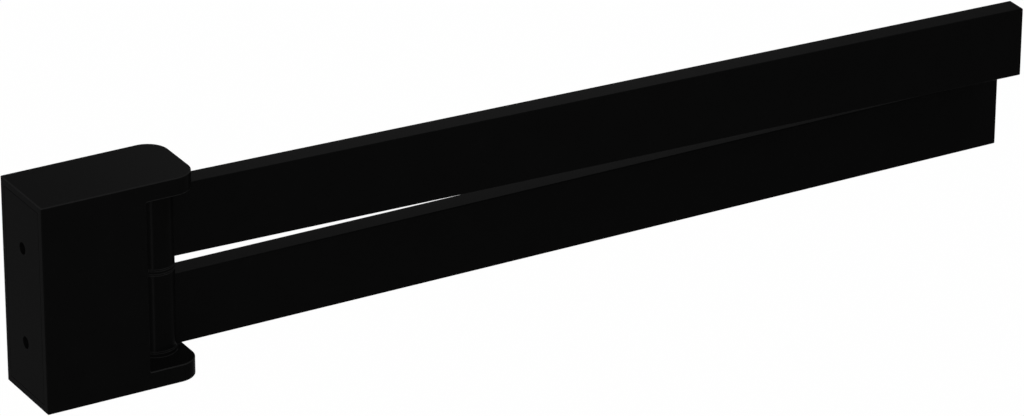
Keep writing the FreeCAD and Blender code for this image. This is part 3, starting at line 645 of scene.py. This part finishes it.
class RAIL_OT_stage(Operator):
    """Floor, light and camera of the picture"""
    bl_idname = "rail.stage"
    bl_label = "Stage"

    def execute(self, context):
        scene = context.scene
        scene.view_settings.view_transform = "Standard"
        self.set_camera(scene)
        self.lay_floor(scene)
        scene.world = self.surroundings()
        for lamp in LAMPS:
            self.hang_lamp(scene, *lamp)
        return {"FINISHED"}

    def set_camera(self, scene):
        """Camera of the picture, with its roll."""
        studio = scene.rail_studio
        camera = bpy.data.cameras.new("camera")
        camera.lens = studio.lens
        camera.sensor_width = SENSOR_WIDTH
        camera.sensor_fit = "HORIZONTAL"
        view = bpy.data.objects.new("camera", camera)
        eye, aim = Vector(studio.eye), Vector(studio.aim)
        turn = (aim - eye).to_track_quat("-Z", "Y").to_matrix() @ Matrix.Rotation(studio.roll, 3, "Z")
        view.matrix_world = Matrix.Translation(eye) @ turn.to_4x4()
        scene.collection.objects.link(view)
        scene.camera = view

    def lay_floor(self, scene):
        """A slab well below the rail."""
        top = -scene.rail_studio.floor_drop
        floor = as_object(box((-FLOOR_REACH, -FLOOR_REACH, top - FLOOR_THICKNESS),
                              (FLOOR_REACH, FLOOR_REACH, top)))
        floor.name = "studio_floor"
        floor.data.materials.append(self.floor_paint(scene.rail_finishes.floor))

    def hang_lamp(self, scene, name, direction, size, level, shadow, gloss):
        """A square lamp that faces the middle of the picture."""
        studio = scene.rail_studio
        lamp = bpy.data.lights.new(name, "AREA")
        lamp.size = size
        lamp.energy = level * (math.pi * studio.lamp_distance) ** 2
        lamp.use_shadow = shadow
        light = bpy.data.objects.new(name, lamp)
        light.visible_glossy = gloss
        towards = Vector(direction).normalized()
        turn = (-towards).to_track_quat("-Z", "Y").to_matrix()
        place = Vector(studio.aim) + towards * studio.lamp_distance
        light.matrix_world = Matrix.Translation(place) @ turn.to_4x4()
        scene.collection.objects.link(light)

    def floor_paint(self, tint):
        """Pale matt paint that the camera and reflections see almost white, with a trace of shadow."""
        material, tree, _ = new_material("pale studio floor")
        paint = add(tree, "ShaderNodeBsdfDiffuse", {"Color": (*tint, 1)})
        white = add(tree, "ShaderNodeEmission", {"Color": (1, 1, 1, 1), "Strength": 1.0})
        share = add(tree, "ShaderNodeMath", {0: self.seen(tree), 1: FLOOR_WHITE}, operation="MULTIPLY")
        both = add(tree, "ShaderNodeMixShader", {0: share, 1: paint, 2: white})
        add(tree, "ShaderNodeOutputMaterial", {"Surface": both})
        return material

    def surroundings(self):
        """White for the camera and reflections, a plain grey for the light that falls on the rail."""
        world = bpy.data.worlds.new("white studio")
        world.use_nodes = True
        tree = world.node_tree
        tree.nodes.clear()
        level = add(tree, "ShaderNodeMapRange", {
            "Value": self.seen(tree), "To Min": ROOM_LIGHT, "To Max": 1.0})
        light = add(tree, "ShaderNodeBackground", {"Color": (1, 1, 1, 1), "Strength": level})
        add(tree, "ShaderNodeOutputWorld", {"Surface": light})
        return world

    def seen(self, tree):
        """1 for rays that the camera, a gloss or a glass sends out."""
        path = add(tree, "ShaderNodeLightPath").outputs
        camera, gloss, glass = (path[f"Is {ray} Ray"] for ray in ("Camera", "Glossy", "Transmission"))
        direct = add(tree, "ShaderNodeMath", {0: camera, 1: gloss}, operation="MAXIMUM")
        return add(tree, "ShaderNodeMath", {0: direct, 1: glass}, operation="MAXIMUM")


class RAIL_OT_fork_block(Operator):
    """Cast block: a web with two round-nosed lugs, a pocket for the wall plate, seats for pin and screws"""
    bl_idname = "rail.fork_block"
    bl_label = "Fork Block"

    def execute(self, context):
        block = context.scene.rail_block
        hinge = context.scene.rail_hinge
        half_width, top, notch = block.width / 2, block.height / 2, block.notch_height / 2
        front, web = -block.depth, -block.web_depth
        corners = [(0, -top), (0, top), (front, top), (front, notch), (web, notch), (web, -notch),
                   (front, -notch), (front, -top)]
        side = filleted(corners, [0, 0, 0, 0, block.notch_radius, block.notch_radius, 0, 0], EDGE_STEPS)
        shape = lofted([[(x, y, z) for y, z in side] for x in (-half_width, half_width)])
        noses = [edge for edge in shape.edges
                 if all(vert.co.y < front + WELD for vert in edge.verts)
                 and abs(edge.verts[0].co.x - edge.verts[1].co.x) < WELD]
        bmesh.ops.bevel(shape, geom=noses, offset=block.corner_radius, segments=CORNER_STEPS, profile=0.5,
                        affect="EDGES")
        sharp = [edge for edge in shape.edges if edge.calc_face_angle() > SHARP_ANGLE]
        bmesh.ops.bevel(shape, geom=sharp, offset=block.edge_radius, segments=EDGE_STEPS, profile=0.5,
                        affect="EDGES")
        cuts = [*self.plate_pocket(context), self.pin_seat(block, hinge), self.screw_seat(context)]
        show("coated_fork_block", carved(shape, cuts=cuts), "wall_bracket", "black_coat", "fork_block")
        return {"FINISHED"}

    def plate_pocket(self, context):
        """Cuts for the flange and the boss of the wall plate."""
        block, plate = context.scene.rail_block, context.scene.rail_plate
        seat = block.width / 2 - plate.rim, block.height / 2 - plate.rim, plate.flange
        well = (plate.boss_width / 2 + plate.clearance, plate.boss_height / 2 + plate.clearance,
                span("wall_plate", Y) + plate.clearance)
        return [box((-half_width, -depth, -half_height), (half_width, OVERRUN, half_height))
                for half_width, half_height, depth in (seat, well)]

    def pin_seat(self, block, hinge):
        """Stepped bore from the underside: the plug's seat, then the pin's, blind in the upper lug."""
        under, top = -block.height / 2, block.height / 2 - block.pin_skin
        plug, pin = span("pin_plug", X) / 2 + hinge.seat, hinge.pin / 2 + hinge.seat
        ledge = levels("pin_plug")[1]
        hub = pin / 10  # a small disc in the middle closes each end of the cut
        return turned([(hub, under - OVERRUN), (plug + block.mouth_chamfer + OVERRUN, under - OVERRUN),
                       (plug, under + block.mouth_chamfer), (plug, ledge), (pin, ledge), (pin, top),
                       (hub, top)])

    def screw_seat(self, context):
        """Bore of the grub screw, from the underside into the pocket of the boss."""
        block, hinge, plate = context.scene.rail_block, context.scene.rail_hinge, context.scene.rail_plate
        under, top = -block.height / 2, -plate.boss_height / 2
        radius = span("bracket_grub_screw", X) / 2 + hinge.seat
        return turned([(radius + block.mouth_chamfer + OVERRUN, under - OVERRUN),
                       (radius, under + block.mouth_chamfer), (radius, top)],
                      screw_place("bracket_grub_screw"), sides=HOLE_SIDES)


class RAIL_OT_wall_plate(Operator):
    """Steel plate on the wall: a flange in the block's back, and a boss with two countersunk screw holes"""
    bl_idname = "rail.wall_plate"
    bl_label = "Wall Plate"

    def execute(self, context):
        plate, hinge = context.scene.rail_plate, context.scene.rail_hinge
        low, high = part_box("wall_plate")
        edge, face = plate.edge_radius, -low.y
        loops = [flat_loop(high.x - inset, high.z - inset, edge - inset, -rise)
                 for inset, rise in eased(edge)]
        loops += [flat_loop(high.x, high.z, edge, -plate.flange)]
        loops += [flat_loop(plate.boss_width / 2, plate.boss_height / 2, edge, y)
                  for y in (-plate.flange, -face)]
        hole, head = plate.screw_hole / 2, plate.screw_head / 2
        cuts = []
        for level in (-plate.screw_spacing / 2, plate.screw_spacing / 2):
            outwards = Matrix.Translation((0, 0, level)) @ Matrix.Rotation(math.pi / 2, 4, "X")
            profile = [(hole, -OVERRUN), (hole, face - head + hole), (head + OVERRUN, face + OVERRUN)]
            cuts.append(turned(profile, outwards, sides=HOLE_SIDES))
        radius = span("bracket_grub_screw", X) / 2 + hinge.seat
        cuts.append(turned([(radius, -plate.boss_height / 2 - OVERRUN),
                            (radius, levels("bracket_grub_screw")[1])],
                           screw_place("bracket_grub_screw"), sides=HOLE_SIDES))
        show("painted_wall_plate", carved(lofted(loops), cuts=cuts), "wall_bracket", "black_plate",
             "wall_plate")
        return {"FINISHED"}


class RAIL_OT_hinge(Operator):
    """Hinge pin, and the three thrust washers on it"""
    bl_idname = "rail.hinge"
    bl_label = "Pin and Washers"

    def execute(self, context):
        hinge = context.scene.rail_hinge
        low, high = levels("hinge_pin")
        radius, neck = hinge.pin / 2, hinge.pin / 2 - hinge.pin_chamfer
        pin = turned([(neck, low), (radius, low + hinge.pin_chamfer), (radius, high - hinge.pin_chamfer),
                      (neck, high)])
        show("ground_hinge_pin", carved(pin), "wall_bracket", "steel_pin", "hinge_pin")

        sizes = {"Diameter": hinge.washer, "Bore": hinge.bore, "Edge Radius": hinge.edge_radius}
        for name in FLAT_WASHERS:
            low, high = levels(name + "_washer")
            sizes[name + " Level"] = (low + high) / 2
            sizes[name + " Thickness"] = high - low
        washers = grown(washer_tree(), "black_nylon", sizes)
        washers.transform(Matrix.Translation(HINGE))
        show("flat_washers", washers, "wall_bracket", "black_nylon", "top_washer", "middle_washer")

        low, high = levels("bottom_washer")
        bore, rim, foot = hinge.bore / 2, hinge.washer / 2, hinge.foot / 2
        step = low + hinge.foot_height
        corners = [(bore, low), (foot, low), (foot, step), (rim, step), (rim, high), (bore, high)]
        section = filleted(corners, [0, 0, hinge.edge_radius, 0, hinge.edge_radius, 0], EDGE_STEPS)
        washer = carved(turned(section, closed=True))
        show("footed_washer", washer, "wall_bracket", "black_nylon", "bottom_washer")
        return {"FINISHED"}


class RAIL_OT_bracket_screws(Operator):
    """Grub screw that clamps the block on the wall plate, and the plug under the hinge pin"""
    bl_idname = "rail.bracket_screws"
    bl_label = "Bracket Screws"

    def execute(self, context):
        hinge = context.scene.rail_hinge
        tree = screw_tree()
        for name, node, flats in (("bracket_clamp_screw", "bracket_grub_screw", hinge.grub_flats),
                                  ("hinge_pin_plug", "pin_plug", hinge.plug_flats)):
            screw = grown(tree, "black_screws", {
                "Diameter": span(node, X), "Length": span(node, Z), "Chamfer": hinge.screw_chamfer,
                "Flats": flats, "Socket Depth": hinge.socket_depth, "Pitch": 0.0, "Count": 1})
            screw.transform(screw_place(node, levels(node)[0]))
            show(name, screw, "wall_bracket", "black_screws", node)
        return {"FINISHED"}


class RAIL_OT_knuckles(Operator):
    """Hinge barrel of each arm, with a neck as large as the bar and a tenon inside it"""
    bl_idname = "rail.knuckles"
    bl_label = "Knuckles"

    def execute(self, context):
        arm, hinge = context.scene.rail_arms, context.scene.rail_hinge
        for side in SIDES:
            low, high = levels(side + "_knuckle")
            middle = bar_level(side)
            radius = arm.barrel / 2
            ends = eased(hinge.edge_radius)
            profile = [(radius - inset, low + rise) for inset, rise in ends]
            profile += [(radius - inset, high - rise) for inset, rise in reversed(ends)]
            barrel = turned(profile)
            neck = lofted([flat_loop(arm.bar_thickness / 2, arm.bar_height / 2, arm.edge_radius, y, middle)
                           for y in (0, -arm.bar_start)])
            core = arm.bar_wall + arm.core_clearance
            tenon = lofted([flat_loop(arm.bar_thickness / 2 - core, arm.bar_height / 2 - core, 0, y, middle)
                            for y in (-arm.bar_start / 2, -arm.tenon_end)])
            for shape in (neck, tenon):
                shape.transform(arm_place(side))
            bore = hinge.sleeve / 2 + hinge.seat
            cuts = [turned([(bore, low - OVERRUN), (bore, high + OVERRUN)])]
            base, tip = levels(side + "_bar_screws")
            hole = arm.screw / 2 + hinge.seat
            for index in range(SET_SCREWS):
                distance = arm.bar_start + arm.screw_inset + index * arm.screw_pitch
                cuts.append(turned([(hole, base - OVERRUN), (hole, tip + hinge.seat)],
                                   arm_place(side, distance), sides=HOLE_SIDES))
            mesh = carved(barrel, joined=(neck, tenon), cuts=cuts)
            show(f"{side}_arm_knuckle", mesh, f"{side}_arm", "black_coat", f"{side}_knuckle")
        return {"FINISHED"}


class RAIL_OT_bushes(Operator):
    """Two flanged bushes in the barrel of each arm"""
    bl_idname = "rail.bushes"
    bl_label = "Bushes"

    def execute(self, context):
        arm, hinge = context.scene.rail_arms, context.scene.rail_hinge
        bore, sleeve, rim = hinge.bore / 2, hinge.sleeve / 2, arm.barrel / 2
        for side in SIDES:
            bushes = []
            for end, sign in (("bottom", 1), ("top", -1)):
                outer, tip = levels(f"{side}_bush_{end}")[::sign]
                flange = outer + sign * hinge.flange
                corners = [(bore, outer), (rim, outer), (rim, flange), (sleeve, flange), (sleeve, tip),
                           (bore, tip)]
                section = filleted(corners, [0, hinge.edge_radius, hinge.edge_radius, 0, 0, 0], EDGE_STEPS)
                bushes.append(turned(section, closed=True))
            show(f"{side}_arm_bushes", joined_mesh(bushes), f"{side}_arm", "black_nylon",
                 f"{side}_bush_bottom", f"{side}_bush_top")
        return {"FINISHED"}


class RAIL_OT_bars(Operator):
    """Flat bar of each arm: a rectangular tube with two screw holes in its underside"""
    bl_idname = "rail.bars"
    bl_label = "Bars"

    def execute(self, context):
        arm, hinge = context.scene.rail_arms, context.scene.rail_hinge
        tree = tube_tree()
        for side in SIDES:
            tube = grown(tree, "black_coat", {
                "Thickness": arm.bar_thickness, "Height": arm.bar_height, "Wall": arm.bar_wall,
                "Edge Radius": arm.edge_radius, "Length": arm.bar_length, "Hole": arm.screw + 2 * hinge.seat,
                "Inset": arm.screw_inset, "Pitch": arm.screw_pitch, "Count": SET_SCREWS})
            tube.transform(arm_place(side, arm.bar_start, bar_level(side)))
            show(f"{side}_arm_bar", tube, f"{side}_arm", "black_coat", f"{side}_bar")
        return {"FINISHED"}


class RAIL_OT_end_caps(Operator):
    """Cap on the free end of each bar, with a hollow plug inside the tube"""
    bl_idname = "rail.end_caps"
    bl_label = "End Caps"

    def execute(self, context):
        arm = context.scene.rail_arms
        half_width, half_height, radius = arm.bar_thickness / 2, arm.bar_height / 2, arm.edge_radius
        plug = arm.bar_wall + arm.core_clearance
        hollow = plug + arm.cap_wall
        loops = [flat_loop(half_width - inset, half_height - inset, radius - inset, rise - arm.cap)
                 for inset, rise in eased(radius)]
        loops += [flat_loop(half_width - inset, half_height - inset, corner, y)
                  for inset, corner, y in ((0, radius, 0), (plug, 0, 0), (plug, 0, arm.cap_plug),
                                           (hollow, 0, arm.cap_plug), (hollow, 0, 0))]
        for side in SIDES:
            shape = lofted(loops)
            shape.transform(arm_place(side, arm.bar_start + arm.bar_length, bar_level(side)))
            show(f"{side}_arm_cap", carved(shape), f"{side}_arm", "black_nylon", f"{side}_end_cap")
        return {"FINISHED"}


class RAIL_OT_set_screws(Operator):
    """Two set screws that hold each bar on its tenon"""
    bl_idname = "rail.set_screws"
    bl_label = "Set Screws"

    def execute(self, context):
        arm, hinge = context.scene.rail_arms, context.scene.rail_hinge
        tree = screw_tree()
        for side in SIDES:
            base, tip = levels(side + "_bar_screws")
            screws = grown(tree, "black_screws", {
                "Diameter": arm.screw, "Length": tip - base, "Chamfer": hinge.screw_chamfer,
                "Flats": arm.screw_flats, "Socket Depth": hinge.socket_depth, "Pitch": arm.screw_pitch,
                "Count": SET_SCREWS})
            screws.transform(arm_place(side, arm.bar_start + arm.screw_inset, base))
            show(f"{side}_arm_screws", screws, f"{side}_arm", "black_screws", f"{side}_bar_screws")
        return {"FINISHED"}


PIECES = (RAIL_OT_fork_block, RAIL_OT_wall_plate, RAIL_OT_hinge, RAIL_OT_bracket_screws, RAIL_OT_knuckles,
          RAIL_OT_bushes, RAIL_OT_bars, RAIL_OT_end_caps, RAIL_OT_set_screws)
GROUPS = {"rail_block": RailBlockSizes, "rail_plate": RailPlateSizes, "rail_hinge": RailHingeSizes,
          "rail_arms": RailArmSizes, "rail_finishes": RailFinishes, "rail_studio": RailStudio}


class RAIL_PT_panel(Panel):
    """Lists the rail's sizes and the buttons that build it"""
    bl_idname = "RAIL_PT_panel"
    bl_label = "Towel Rail"
    bl_space_type = "VIEW_3D"
    bl_region_type = "UI"
    bl_category = "Towel Rail"

    def draw(self, context):
        for operator in (RAIL_OT_stage, *PIECES):
            self.layout.operator(operator.bl_idname)
        for name, group in GROUPS.items():
            rows = self.layout.box()
            for size in group.__annotations__:
                rows.prop(getattr(context.scene, name), size)


CLASSES = (*GROUPS.values(), RAIL_OT_stage, *PIECES, RAIL_PT_panel)


def register():
    for item in CLASSES:
        bpy.utils.register_class(item)
    for name, group in GROUPS.items():
        setattr(bpy.types.Scene, name, PointerProperty(type=group))


def unregister():
    for name in GROUPS:
        delattr(bpy.types.Scene, name)
    for item in reversed(CLASSES):
        bpy.utils.unregister_class(item)


def main():
    register()
    bpy.ops.rail.stage()
    bpy.ops.rail.fork_block()
    bpy.ops.rail.wall_plate()
    bpy.ops.rail.hinge()
    bpy.ops.rail.bracket_screws()
    bpy.ops.rail.knuckles()
    bpy.ops.rail.bushes()
    bpy.ops.rail.bars()
    bpy.ops.rail.end_caps()
    bpy.ops.rail.set_screws()


if __name__ == "__main__":
    main()
